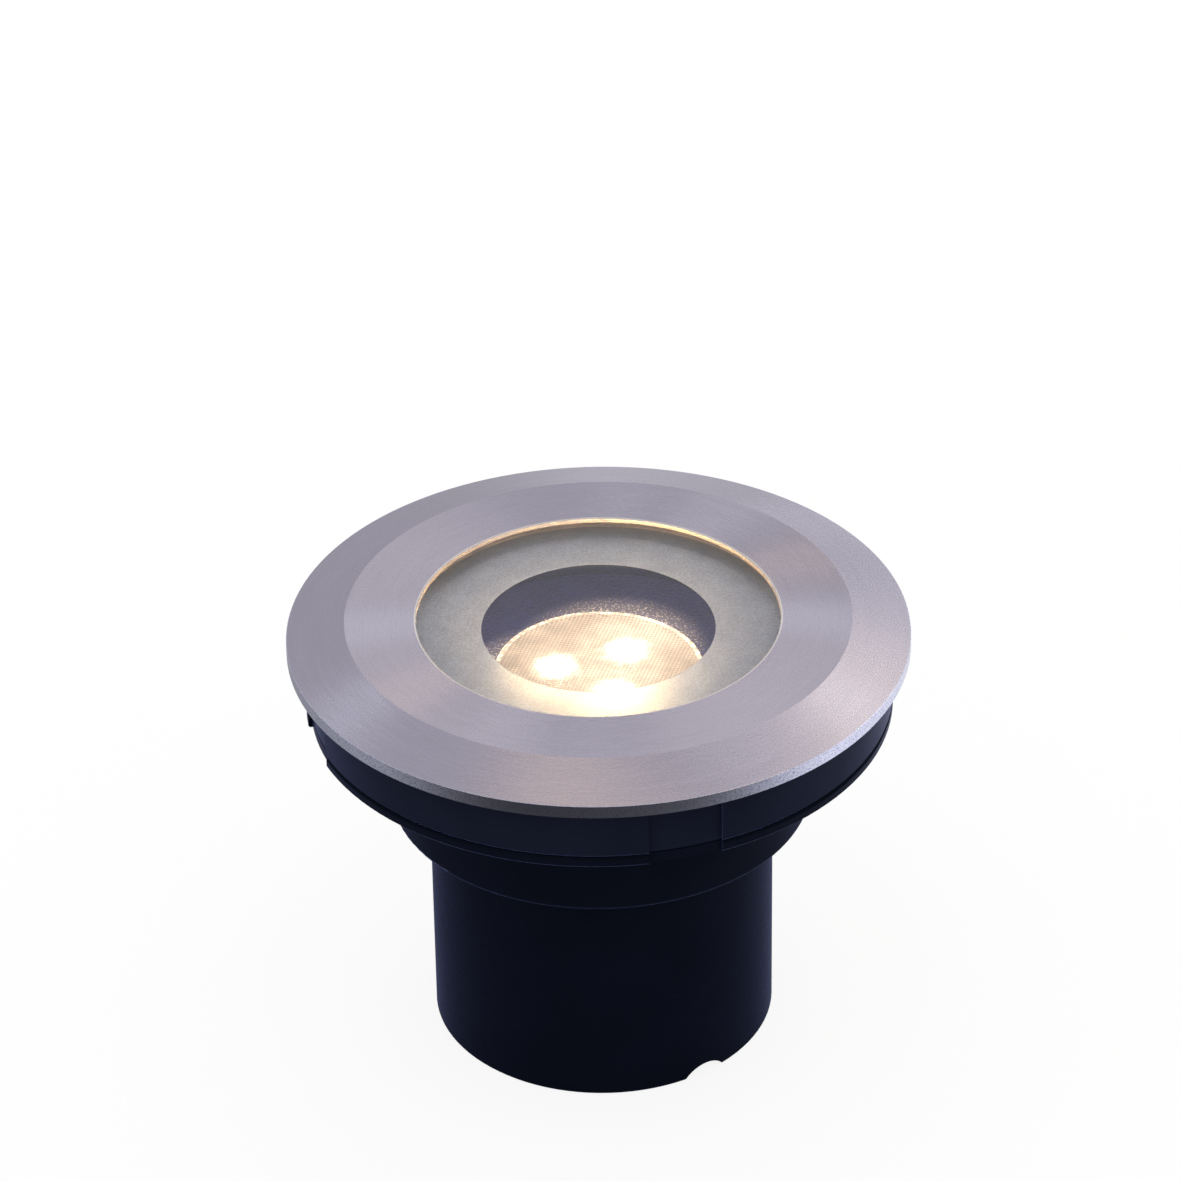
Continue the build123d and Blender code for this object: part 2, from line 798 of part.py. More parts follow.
with BuildPart() as gland_seal:
    with BuildSketch(Plane.XZ):
        seal_outer = cable_radius + seal_wall
        seal_bottom = hex_bottom - seal_length
        with BuildLine():
            Polyline(
                (cable_radius, seal_bottom),
                (seal_outer - seal_taper, seal_bottom),
                (seal_outer, seal_bottom + seal_taper),
                (seal_outer, hex_bottom),
                (cable_radius, hex_bottom),
                close=True,
            )
        make_face()
    revolve(axis=Axis.Z)

with BuildPart() as gland_nut:
    with BuildSketch(Plane.XZ) as nut_section:
        nut_inner = gland_thread_radius + gland_thread_clearance
        nut_outer = nut_inner + gland_nut_wall
        dome_inner = gland_nut_bottom + gland_dome_thickness
        with BuildLine():
            Polyline(
                (gland_bore_radius, gland_nut_bottom),
                (nut_outer, gland_nut_bottom),
                (nut_outer, gland_nut_top),
                (nut_inner, gland_nut_top),
                (nut_inner, dome_inner),
                (gland_bore_radius, gland_nut_bottom + gland_dome_thickness / 2),
                close=True,
            )
        make_face()
        fillet(corner(nut_section, nut_outer, gland_nut_bottom), gland_nut_wall)
    revolve(axis=Axis.Z)
    with BuildSketch(Plane.XY.offset(gland_nut_bottom)):
        with PolarLocations(nut_outer + gland_nut_flute_radius / 2, gland_nut_flute_count):
            Circle(gland_nut_flute_radius)
    extrude(amount=gland_nut_height, mode=Mode.SUBTRACT)

# Each clip is a bowed leaf that follows the can, screwed on at its upper end
with BuildPart() as spring_clip:
    clip_top = shoulder_bottom - clip_inset
    clip_bow_top = clip_top - clip_pad_length
    clip_bow_middle = (clip_bow_top + clip_top - clip_length) / 2
    clip_inner = can_outer + seat_gap
    clip_outer = clip_inner + clip_thickness
    bow_outer = tube_inner - clip_clearance
    bow_inner = bow_outer - clip_thickness
    with BuildSketch(Plane.XZ):
        with BuildLine():
            Line((clip_inner, clip_bow_top), (clip_inner, clip_top))
            Line((clip_inner, clip_top), (clip_outer, clip_top))
            Line((clip_outer, clip_top), (clip_outer, clip_bow_top))
            ThreePointArc(
                (clip_outer, clip_bow_top),
                (bow_outer, clip_bow_middle),
                (clip_outer, clip_top - clip_length),
            )
            Line((clip_outer, clip_top - clip_length), (clip_inner, clip_top - clip_length))
            ThreePointArc(
                (clip_inner, clip_top - clip_length),
                (bow_inner, clip_bow_middle),
                (clip_inner, clip_bow_top),
            )
        make_face()
    clip_sweep = degrees(clip_width / can_outer)
    revolve(axis=Axis.Z, revolution_arc=clip_sweep)
    with Locations(Location((0, 0, 0), (0, 0, clip_sweep / 2))):
        with Locations((clip_inner, 0, clip_screw_height)):
            Cylinder(
                clip_screw_radius + hole_clearance,
                2 * (clip_thickness + cut),
                rotation=(0, 90, 0),
                mode=Mode.SUBTRACT,
            )

with BuildPart() as spring_clips:
    with PolarLocations(0, clip_count, start_angle=clip_angle - clip_sweep / 2):
        add(spring_clip.part)

clip_screw = pan_screw(clip_screw_radius, clip_screw_length, clip_head_radius, clip_head_height)
with BuildPart() as clip_screws:
    with PolarLocations(0, clip_count, start_angle=clip_angle):
        with Locations((clip_outer + seat_gap, 0, clip_screw_height)):
            add(clip_screw, rotation=(0, 90, 0))

pieces = {
    "ground_sleeve": ground_sleeve,
    "lamp_body": lamp_body,
    "trim_ring": trim_ring,
    "cover_glass": cover_glass,
    "glass_gasket": glass_gasket,
    "ring_screws": ring_screws,
    "heat_sink": heat_sink,
    "heat_sink_screws": heat_sink_screws,
    "thermal_pad": thermal_pad,
    "led_board": led_board,
    "board_screws": board_screws,
    "led_emitters": led_emitters,
    "lens": lens,
    "lens_holder": lens_holder,
    "baffle": baffle,
    "rear_cap": rear_cap,
    "cap_o_ring": cap_o_ring,
    "cap_screws": cap_screws,
    "driver_board": driver_board,
    "driver_screws": driver_screws,
    "driver_inductor": driver_inductor,
    "driver_capacitors": driver_capacitors,
    "bridge_rectifier": bridge_rectifier,
    "driver_chip": driver_chip,
    "terminal_block": terminal_block,
    "lead_positive": lead_positive,
    "lead_negative": lead_negative,
    "gland_body": gland_body,
    "gland_washer": gland_washer,
    "gland_locknut": gland_locknut,
    "gland_seal": gland_seal,
    "gland_nut": gland_nut,
    "spring_clips": spring_clips,
    "clip_screws": clip_screws,
}
os.makedirs("parts", exist_ok=True)
for name, piece in pieces.items():
    piece.part.label = name
    export_step(piece.part, f"parts/{name}.step")
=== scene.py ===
"""Looks for the recessed garden uplight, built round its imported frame. Metres, +Z up, -Y is the front."""
import math

import bpy
from mathutils import Matrix, Vector


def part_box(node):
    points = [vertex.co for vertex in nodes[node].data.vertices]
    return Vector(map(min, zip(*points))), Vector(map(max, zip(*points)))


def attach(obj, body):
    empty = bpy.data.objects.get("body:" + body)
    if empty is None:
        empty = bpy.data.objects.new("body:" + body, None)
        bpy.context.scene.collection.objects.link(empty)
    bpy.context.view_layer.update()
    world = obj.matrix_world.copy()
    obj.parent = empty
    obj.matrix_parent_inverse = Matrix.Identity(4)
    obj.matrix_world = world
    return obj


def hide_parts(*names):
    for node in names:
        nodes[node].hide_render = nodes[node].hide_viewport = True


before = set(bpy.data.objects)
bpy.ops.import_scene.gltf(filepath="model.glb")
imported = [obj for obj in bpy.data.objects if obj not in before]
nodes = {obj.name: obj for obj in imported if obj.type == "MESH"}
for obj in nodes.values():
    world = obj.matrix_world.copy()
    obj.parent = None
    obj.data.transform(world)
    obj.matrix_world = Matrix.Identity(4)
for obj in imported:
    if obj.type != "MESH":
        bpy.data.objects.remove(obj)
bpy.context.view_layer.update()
MM = 0.001

# Main surfaces, read from the frame
glass_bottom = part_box("cover_glass")[0][2]
lens_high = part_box("lens")[1]
lens_top = lens_high[2]
lens_radius = lens_high[0]
ring_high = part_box("trim_ring")[1]
ring_top = ring_high[2]
ring_radius = ring_high[0]
board_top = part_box("led_board")[1][2]

# Sizes of the opening and of the pieces made here
RING_EDGE_HEIGHT = ring_top - 3.0 * MM
RING_OPENING_RADIUS = 32.1 * MM
WINDOW_RADIUS = 20.65 * MM
CUP_RADIUS = 34.5 * MM
FROST_OUTER_RADIUS = 33.4 * MM
FROST_THICKNESS = 0.06 * MM
FROST_GAP = 0.01 * MM
frost_top = glass_bottom - FROST_GAP
GASKET_ROUND = 0.3 * MM
GASKET_EASE = 0.02 * MM
LED_CIRCLE = 7.85 * MM
LED_ANGLES = tuple(math.radians(51 + 120 * k) for k in range(3))
WHITE = (1, 1, 1)
NOISE_RANGE = (0.3, 0.7)


# Node helpers. In the values below, a colour is red, green and blue, a range is from, to, value at from and
# value at to, a noise is scale per metre, detail and roughness, and a bump is strength and depth in metres.

def add(tree, kind, values=None, **properties):
    """A node with its properties set, and its inputs linked or given values."""
    node = tree.nodes.new(kind)
    for name, value in properties.items():
        setattr(node, name, value)
    for name, value in (values or {}).items():
        socket = node.inputs[name]
        if isinstance(value, bpy.types.NodeSocket):
            tree.links.new(value, socket)
        elif socket.type == "RGBA":
            socket.default_value = (*value, 1)
        else:
            socket.default_value = value
    return node


def new_tree(name):
    material = bpy.data.materials.new(name)
    material.use_nodes = True
    tree = material.node_tree
    tree.nodes.clear()
    return material, tree


def finish_material(tree, shader):
    add(tree, "ShaderNodeOutputMaterial", {"Surface": shader})


def math_node(tree, operation, *values):
    return add(tree, "ShaderNodeMath", dict(enumerate(values)), operation=operation).outputs[0]


def chain(tree, operation, values):
    total = values[0]
    for value in values[1:]:
        total = math_node(tree, operation, total, value)
    return total


def plus(tree, *values):
    return chain(tree, "ADD", values)


def times(tree, *values):
    return chain(tree, "MULTIPLY", values)


def minus(tree, a, b):
    return math_node(tree, "SUBTRACT", a, b)


def larger(tree, a, b):
    return math_node(tree, "MAXIMUM", a, b)


def length(tree, x, y):
    return math_node(tree, "SQRT", plus(tree, times(tree, x, x), times(tree, y, y)))


def position(tree):
    return add(tree, "ShaderNodeTexCoord").outputs["Object"]


def split(tree, place):
    """The x, y and z of a vector."""
    return tuple(add(tree, "ShaderNodeSeparateXYZ", {0: place}).outputs)


def stretched(tree, scale):
    """The point's place, scaled differently along the three axes."""
    return add(tree, "ShaderNodeMapping", {0: position(tree), "Scale": scale}).outputs[0]


def noise(tree, place, scale, detail=2.0, roughness=0.5):
    values = {"Vector": place, "Scale": scale, "Detail": detail, "Roughness": roughness}
    return add(tree, "ShaderNodeTexNoise", values).outputs["Fac"]


def ramp(tree, value, from_low, from_high, to_low, to_high):
    """A smooth step from one value to another."""
    values = {
        "Value": value,
        "From Min": from_low,
        "From Max": from_high,
        "To Min": to_low,
        "To Max": to_high,
    }
    return add(tree, "ShaderNodeMapRange", values, interpolation_type="SMOOTHSTEP").outputs[0]


def spread(tree, value, low, high):
    """A noise's usual range, from low to high."""
    return ramp(tree, value, *NOISE_RANGE, low, high)


def mix_colour(tree, factor, a, b):
    values = {0: factor, 6: a, 7: b}
    return add(tree, "ShaderNodeMix", values, data_type="RGBA", clamp_factor=True).outputs[2]


def spread_colour(tree, value, low, high):
    """A noise's usual range, from one colour to the other."""
    return mix_colour(tree, spread(tree, value, 0, 1), low, high)


def scale_colour(tree, colour, factor):
    """A colour times a number, both of which may vary."""
    return add(tree, "ShaderNodeVectorMath", {0: colour, 3: factor}, operation="SCALE").outputs[0]


def bump(tree, height, strength, distance):
    values = {"Height": height, "Strength": strength, "Distance": distance}
    return add(tree, "ShaderNodeBump", values).outputs["Normal"]


def light_path(tree, name):
    return add(tree, "ShaderNodeLightPath").outputs[name]


def mix_shader(tree, share, first, second):
    return add(tree, "ShaderNodeMixShader", {0: share, 1: first, 2: second}).outputs[0]


def principled(tree, values):
    return add(tree, "ShaderNodeBsdfPrincipled", values).outputs[0]


def lamps_pass(tree, shader, tint):
    """The shader, through which the lamps' light falls with a tint."""
    clear = add(tree, "ShaderNodeBsdfTransparent", {"Color": tint}).outputs[0]
    return mix_shader(tree, light_path(tree, "Is Shadow Ray"), shader, clear)


def paint(piece, material):
    piece.data.materials.clear()
    piece.data.materials.append(material)


# Camera, at the photograph's viewing angle
CAMERA_DISTANCE = 0.95
CAMERA_ELEVATION = math.radians(32.532)
CAMERA_ROLL = math.radians(-0.953)
CAMERA_AIM = Vector((0, 0, RING_EDGE_HEIGHT))
CAMERA_PAN_RIGHT = -1.403 * MM
CAMERA_PAN_UP = 6.717 * MM
CAMERA_LENS = 164.485
SENSOR = 36.0

back = Vector((0, -math.cos(CAMERA_ELEVATION), math.sin(CAMERA_ELEVATION)))
level_up = Vector((0, math.sin(CAMERA_ELEVATION), math.cos(CAMERA_ELEVATION)))
level_right = Vector((1, 0, 0))
right = math.cos(CAMERA_ROLL) * level_right + math.sin(CAMERA_ROLL) * level_up
up = -math.sin(CAMERA_ROLL) * level_right + math.cos(CAMERA_ROLL) * level_up
eye = CAMERA_AIM + back * CAMERA_DISTANCE + right * CAMERA_PAN_RIGHT + up * CAMERA_PAN_UP
camera_data = bpy.data.cameras.new("camera")
camera_data.lens = CAMERA_LENS
camera_data.sensor_width = SENSOR
camera_data.clip_start = 0.01
camera = bpy.data.objects.new("camera", camera_data)
bpy.context.collection.objects.link(camera)
camera.matrix_world = Matrix((
    (right.x, up.x, back.x, eye.x),
    (right.y, up.y, back.y, eye.y),
    (right.z, up.z, back.z, eye.z),
    (0, 0, 0, 1),
))
bpy.context.scene.camera = camera
bpy.context.scene.view_settings.view_transform = "Standard"


# World: white to the eye, in glass and on matt surfaces, and grey in metal and gloss, where it darkens low
# down at the front. The ranges are of the direction's y and z.
GLOSS_LEVEL = 0.55
WORLD_TO_FRONT = (-0.8, -0.2, 0.2, 1.0)
WORLD_OVERHEAD = (0.1, 0.45, 0.0, 1.0)


def make_world():
    world = bpy.data.worlds.new("studio")
    bpy.context.scene.world = world
    world.use_nodes = True
    tree = world.node_tree
    tree.nodes.clear()
    _, y, z = split(tree, add(tree, "ShaderNodeTexCoord").outputs["Generated"])
    share = larger(tree, ramp(tree, y, *WORLD_TO_FRONT), ramp(tree, z, *WORLD_OVERHEAD))
    white = add(tree, "ShaderNodeBackground", {"Color": WHITE, "Strength": 1.0})
    dimmed = times(tree, share, GLOSS_LEVEL)
    grey = add(tree, "ShaderNodeBackground", {"Color": WHITE, "Strength": dimmed})
    surround = mix_shader(tree, light_path(tree, "Is Glossy Ray"), white.outputs[0], grey.outputs[0])
    add(tree, "ShaderNodeOutputWorld", {"Surface": surround})


make_world()

# Floor: white to the eye and in glass, with part of its own shading so that it keeps the object's shadow.
# In metal and gloss it fades towards the front, the object's foot and the left: painted shade, seen only in
# reflections.
FLOOR_HALF = 4.0
FLOOR_COLOUR = (0.9, 0.9, 0.9)
FLOOR_WHITE_SHARE = 0.88
FLOOR_TO_FRONT = (-0.16, -0.025, 0.07, 1.0)
FLOOR_TO_FOOT = (0.06, 0.17, 0.2, 1.0)
FLOOR_TO_LEFT = (-0.14, 0.13, 0.36, 1.0)


def make_floor():
    mesh = bpy.data.meshes.new("floor")
    half = FLOOR_HALF
    corners = [(-half, -half, 0), (half, -half, 0), (half, half, 0), (-half, half, 0)]
    mesh.from_pydata(corners, [], [(0, 1, 2, 3)])
    floor = bpy.data.objects.new("floor", mesh)
    bpy.context.collection.objects.link(floor)
    material, tree = new_tree("floor")
    rays = add(tree, "ShaderNodeLightPath").outputs
    x, y, _ = split(tree, position(tree))
    # Painted shade for reflections: darker near the object's foot, towards the front and towards the left.
    painted_shade_in_gloss = times(
        tree,
        ramp(tree, y, *FLOOR_TO_FRONT),
        ramp(tree, length(tree, x, y), *FLOOR_TO_FOOT),
        ramp(tree, x, *FLOOR_TO_LEFT),
    )
    seen_straight = larger(tree, rays["Is Camera Ray"], rays["Is Transmission Ray"])
    level = larger(tree, seen_straight, times(tree, rays["Is Glossy Ray"], painted_shade_in_gloss))
    diffuse = add(tree, "ShaderNodeBsdfDiffuse", {"Color": FLOOR_COLOUR})
    glow = add(tree, "ShaderNodeEmission", {"Color": WHITE, "Strength": level})
    share = larger(tree, times(tree, seen_straight, FLOOR_WHITE_SHARE), rays["Is Glossy Ray"])
    finish_material(tree, mix_shader(tree, share, diffuse.outputs[0], glow.outputs[0]))
    paint(floor, material)


make_floor()

# Lamps
LAMP_DISTANCE = 1.3
BOX_SIZE = (0.34, 0.26)
BACK_BOX_SIZE = (0.5, 0.4)
EMITTER_GLOW_RADIUS = 2.0 * MM
EMITTER_GLOW_GAP = 0.3 * MM
EMITTER_WATTS = 0.0134
EMITTER_COLOUR = (1.0, 0.58, 0.20)


def area_lamp(name, shape, size, watts, colour):
    data = bpy.data.lights.new(name, "AREA")
    data.shape = shape
    data.size = size
    data.energy = watts
    data.color = colour
    lamp = bpy.data.objects.new(name, data)
    bpy.context.collection.objects.link(lamp)
    return lamp


def round_z(radius, angle, z):
    return Vector((radius * math.cos(angle), radius * math.sin(angle), z))


def softbox(name, azimuth, elevation, size, watts, colour):
    """A rectangular area lamp that looks at the object. Azimuth is counted from +X towards +Y."""
    width, height = size
    lamp = area_lamp(name, "RECTANGLE", width, watts, colour)
    lamp.data.size_y = height
    across, rise = math.radians(azimuth), math.radians(elevation)
    direction = round_z(math.cos(rise), across, math.sin(rise))
    lamp.location = Vector((0, 0, ring_top)) + direction * LAMP_DISTANCE
    lamp.rotation_euler = direction.to_track_quat("Z", "Y").to_euler()


def emitter_light(number, angle):
    """What one emitter sends up through the lens. It moves with the lamp."""
    name = f"emitter_light_{number}"
    light = area_lamp(name, "DISK", 2 * EMITTER_GLOW_RADIUS, EMITTER_WATTS, EMITTER_COLOUR)
    light.location = round_z(LED_CIRCLE, angle, lens_top + EMITTER_GLOW_GAP)
    light.rotation_euler = (math.pi, 0, 0)
    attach(light, "lamp")


# Name, azimuth, elevation, size, watts, colour
for box in (
    ("right_high_box", 60, 42, BOX_SIZE, 0.28, (1.0, 1.0, 0.88)),
    ("right_low_box", 60, 22, BOX_SIZE, 0.31, (1.0, 1.0, 0.92)),
    ("back_box", 98, 46, BACK_BOX_SIZE, 0.36, (1.0, 0.95, 0.8)),
    ("warm_box", 40, 64, BOX_SIZE, 0.6, (1.0, 0.7, 0.27)),
    ("top_box", 270, 80, BOX_SIZE, 1.55, (0.86, 1.0, 1.0)),
):
    softbox(*box)
for number, angle in enumerate(LED_ANGLES):
    emitter_light(number, angle)


# Black mouldings
BLACK_ROUGHNESS = 0.26
BLACK_SPECULAR = 0.015
BLACK_SHEEN_TINT = (0.32, 0.40, 1.0)
FLOW_NOISE = (60.0, 3.0)
PEEL_NOISE = (700.0, 2.0)
PEEL_BUMP = (0.25, 0.00002)
HANDLING_STRETCH = (300, 300, 2500)
HANDLING_NOISE = (1.0, 3.0)
HANDLING_RANGE = (0.35, 0.7)
# Painted light on the inside of the lamp body's cup, and painted shade at its foot by the baffle.
CUP_WALL_PAINTED_LIGHT = (0.11, 0.12, 0.19)
CUP_FOOT_PAINTED_SHADE = (0.016, 0.016, 0.095)
CUP_PAINTED_HEIGHTS = (glass_bottom - 8.8 * MM, glass_bottom - 7.2 * MM, 0.0, 1.0)


def black_moulding(name, colour, sheen, paint_cup_light=False):
    """Moulded plastic: faint flow, an orange-peel surface and fine handling marks.

    Optionally the inside of the lamp body's cup is painted paler, as painted light, down to a foot darkened
    with painted shade by the baffle.
    """
    material, tree = new_tree(name)
    place = position(tree)
    flow = noise(tree, place, *FLOW_NOISE)
    base = mix_colour(tree, flow, [c * 0.75 for c in colour], [c * 1.3 for c in colour])
    if paint_cup_light:
        x, y, z = split(tree, place)
        within = math_node(tree, "LESS_THAN", length(tree, x, y), CUP_RADIUS)
        above = math_node(tree, "GREATER_THAN", z, board_top)
        # Painted light up the cup's wall and painted shade at its foot.
        cup_light_and_shade = mix_colour(tree, ramp(tree, z, *CUP_PAINTED_HEIGHTS), CUP_FOOT_PAINTED_SHADE, CUP_WALL_PAINTED_LIGHT)
        base = mix_colour(tree, times(tree, within, above), base, cup_light_and_shade)
    marks = noise(tree, stretched(tree, HANDLING_STRETCH), *HANDLING_NOISE)
    peel = noise(tree, place, *PEEL_NOISE)
    finish_material(tree, principled(tree, {
        "Base Color": base,
        "Roughness": ramp(
            tree, marks, *HANDLING_RANGE, BLACK_ROUGHNESS * 0.9, BLACK_ROUGHNESS * 1.25),
        "Specular IOR Level": BLACK_SPECULAR,
        "Sheen Weight": sheen,
        "Sheen Roughness": 0.35,
        "Sheen Tint": BLACK_SHEEN_TINT,
        "Normal": bump(tree, peel, *PEEL_BUMP),
    }))
    return material


# Trim ring
STEEL = (0.545, 0.507, 0.628), (0.605, 0.563, 0.697)
RIM_STEEL = (0.78, 0.79, 1.0), (0.36, 0.37, 0.56)
# A painted highlight along the opening's edge.
OPENING_PAINTED_HIGHLIGHT = (0.96, 0.90, 0.90)
ON_RIM = (ring_radius - 0.14 * MM, ring_radius - 0.05 * MM, 0, 1)
AT_OPENING = (RING_OPENING_RADIUS + 0.2 * MM, RING_OPENING_RADIUS + 0.45 * MM, 1.0, 0.0)
LINE_FINENESS = 9000.0
LINE_LENGTHENING = 9.0
LINE_NOISE = (1.0, 4.0, 0.6)
LINE_SHARE = 0.75
LINE_BUMP = (0.08, 0.00001)
BROAD_FINENESS = 900.0
BROAD_LENGTHENING = 3.0
BROAD_NOISE = (1.0, 2.0)
SPECK_NOISE = (4600.0, 2.0)
SPECK_TONES = (0.48, 0.66, 0, 1)
SPECK_ROUGHNESS = (0.4, 0.7, 0.18, 0.3)
SPECK_BUMP = (0.2, 0.00002)


def turned_noise(tree, radius, z, angle, fineness, lengthening, texture):
    """Noise drawn out into circles round the Z axis."""
    place = add(tree, "ShaderNodeCombineXYZ", {
        0: times(tree, plus(tree, radius, z), fineness),
        1: times(tree, math_node(tree, "COSINE", angle), lengthening),
        2: times(tree, math_node(tree, "SINE", angle), lengthening),
    }).outputs[0]
    return noise(tree, place, *texture)


def brushed_ring():
    """Stainless steel brushed in circles, with a painted highlight along the opening's edge and a speckled
    upright rim.
    """
    material, tree = new_tree("ring_steel")
    x, y, z = split(tree, position(tree))
    radius = length(tree, x, y)
    angle = math_node(tree, "ARCTAN2", y, x)
    lines = turned_noise(tree, radius, z, angle, LINE_FINENESS, LINE_LENGTHENING, LINE_NOISE)
    broad = turned_noise(tree, radius, z, angle, BROAD_FINENESS, BROAD_LENGTHENING, BROAD_NOISE)
    specks = noise(tree, position(tree), *SPECK_NOISE)
    tone = plus(tree, times(tree, lines, LINE_SHARE), times(tree, broad, 1 - LINE_SHARE))
    steel = spread_colour(tree, tone, *STEEL)
    brushed = principled(tree, {
        "Base Color": mix_colour(tree, ramp(tree, radius, *AT_OPENING), steel, OPENING_PAINTED_HIGHLIGHT),
        "Metallic": 1.0,
        "Roughness": spread(tree, lines, 0.25, 0.29),
        "Anisotropic": 1.0,
        "Tangent": add(tree, "ShaderNodeTangent", direction_type="RADIAL", axis="Z").outputs[0],
        "Normal": bump(tree, lines, *LINE_BUMP),
    })
    rim = principled(tree, {
        "Base Color": mix_colour(tree, ramp(tree, specks, *SPECK_TONES), *RIM_STEEL),
        "Metallic": 1.0,
        "Roughness": ramp(tree, specks, *SPECK_ROUGHNESS),
        "Normal": bump(tree, specks, *SPECK_BUMP),
    })
    finish_material(tree, mix_shader(tree, ramp(tree, radius, *ON_RIM), brushed, rim))
    return material


# Glass
SMEAR_NOISE = (90.0, 3.0)
SMEAR_ROUGHNESS = (0.4, 0.8, 0.0, 0.03)
GLASS_SHADOW = (0.95, 0.955, 0.97)
FROST_SHADOW = (0.6, 0.6, 0.58)
FROST_FACE = (0.14, 0.19, 0.32), (0.42, 0.56, 0.85)
FROST_BODY = (0.44, 0.54, 0.75), (0.76, 0.85, 0.94)
FROST_TRANSLUCENT = (0.06, 0.06, 0.06)
FROST_TRANSLUCENT_SHARE = 0.15
FROST_GRAIN = (2600.0, 2.0, 0.6)
FROST_GRAIN_SHARE = 0.85
FROST_CLOUD = (300.0, 3.0)
FROST_PITS = (0.42, 0.58, 0, 1)
FROST_SCATTER = (0.4, 0.6, 0.22, 0.42)
FROST_BUMP = (0.8, 0.0001)
# Painted shadow of the ring's lip on the frost: darker near the lip, at the back only.
LIP_SHADE = (26.5 * MM, 33.0 * MM, 0.0, 0.6)
LIP_SHADE_BACK = (4 * MM, 20 * MM, 0.0, 1.0)
FROST_FACE_HEIGHTS = (frost_top - FROST_THICKNESS, frost_top - FROST_THICKNESS / 2, 0.0, 1.0)


def clear_glass():
    """Clear toughened glass with faint smears."""
    material, tree = new_tree("cover_glass")
    smears = noise(tree, position(tree), *SMEAR_NOISE)
    glass = principled(tree, {
        "Base Color": (0.985, 0.985, 0.99),
        "Roughness": ramp(tree, smears, *SMEAR_ROUGHNESS),
        "IOR": 1.5,
        "Transmission Weight": 1.0,
    })
    finish_material(tree, lamps_pass(tree, glass, GLASS_SHADOW))
    return material


def frost():
    """Sand-blasted glass: its top face scatters part of the light back, and the rest is blurred, both with
    a painted shadow of the ring's lip at the back.
    """
    material, tree = new_tree("frosted_glass")
    place = position(tree)
    x, y, z = split(tree, place)
    grain = noise(tree, place, *FROST_GRAIN)
    cloud = noise(tree, place, *FROST_CLOUD)
    tone = plus(tree, times(tree, grain, FROST_GRAIN_SHARE), times(tree, cloud, 1 - FROST_GRAIN_SHARE))
    pits = ramp(tree, tone, *FROST_PITS)
    # Painted shadow of the lip, darkening the frost's colours at the back.
    painted_lip_shadow = times(tree, ramp(tree, length(tree, x, y), *LIP_SHADE), ramp(tree, y, *LIP_SHADE_BACK))
    unshaded = minus(tree, 1.0, painted_lip_shadow)
    normal = bump(tree, grain, *FROST_BUMP)
    diffuse = add(tree, "ShaderNodeBsdfDiffuse", {
        "Color": scale_colour(tree, mix_colour(tree, pits, *FROST_FACE), unshaded),
        "Normal": normal,
    })
    through = add(tree, "ShaderNodeBsdfTranslucent", {"Color": FROST_TRANSLUCENT, "Normal": normal})
    blurred = principled(tree, {
        "Base Color": scale_colour(tree, mix_colour(tree, pits, *FROST_BODY), unshaded),
        "Roughness": 0.6,
        "IOR": 1.4,
        "Transmission Weight": 1.0,
        "Normal": normal,
    })
    scatter = mix_shader(tree, FROST_TRANSLUCENT_SHARE, diffuse.outputs[0], through.outputs[0])
    scattered = times(tree, ramp(tree, grain, *FROST_SCATTER), ramp(tree, z, *FROST_FACE_HEIGHTS))
    solid = mix_shader(tree, minus(tree, 1.0, scattered), scatter, blurred)
    finish_material(tree, lamps_pass(tree, solid, FROST_SHADOW))
    return material


# Lens, and the baffle round it. The LED ranges and the leak's reach run over the distance from an emitter.
LED_CORE = (1.0 * MM, 3.6 * MM, 16.0, 0.0)
LED_HALO = (2.4 * MM, 5.6 * MM, 0.9, 0.0)
LED_SKIRT = (3.0 * MM, 14.0 * MM, 0.34, 0.0)
GRID_PITCH = 0.68 * MM
GRID_TURN = math.radians(-17)
GRID_DEPTH = 0.36
GRID_BUMP = (0.5, 0.0001)
GRID_RIPPLE = 0.3 * MM
PATCH_RIPPLE = 0.45 * MM
PATCH_NOISE = (700.0, 2.0)
FIELD_NOISE = (260.0, 3.0)
FIELD_LEVELS = (0.28, 0.51)
# Painted light on the lens: brighter towards the right and the back, and glints along the rim.
LENS_TO_RIGHT = (-8 * MM, 14 * MM, 0.0, 0.24)
LENS_TO_BACK = (2 * MM, 15 * MM, 0.0, 0.30)
LENS_RIM = (lens_radius - 0.95 * MM, lens_radius - 0.7 * MM, 0.0, 1.0)
GLINT_NOISE = (1300.0, 3.0)
GLINT_LEVELS = (0.4, 0.7, 0.22, 1.25)
LENS_PLATE = (lens_top - 1.9 * MM, lens_top - 1.6 * MM, 0.25, 1.0)
LENS_GLOW = (1.0, 0.70, 0.47), (1.0, 0.88, 0.64)
LENS_GLOW_LEVELS = (0.4, 2.2, 0.0, 1.0)
BAFFLE = (0.014, 0.014, 0.095), (0.040, 0.042, 0.20)
# Painted glints and haze on the baffle near each emitter.
LEAK_TURN = math.radians(22)
LEAK_REACH = (12.0 * MM, 18.5 * MM, 1.0, 0.0)
LEAK_NOISE = (2600.0, 1.0)
LEAK_PAINTED_GLINTS = (0.56, 0.68, 0.0, 1.0)
LEAK_HAZE = 0.22
LEAK_COLOUR = (1.0, 0.76, 0.54)


def distance_on_circle(tree, x, y, turn):
    """The distance from the point on the emitters' circle at this angle."""
    across = minus(tree, x, LED_CIRCLE * math.cos(turn))
    along = minus(tree, y, LED_CIRCLE * math.sin(turn))
    return length(tree, across, along)


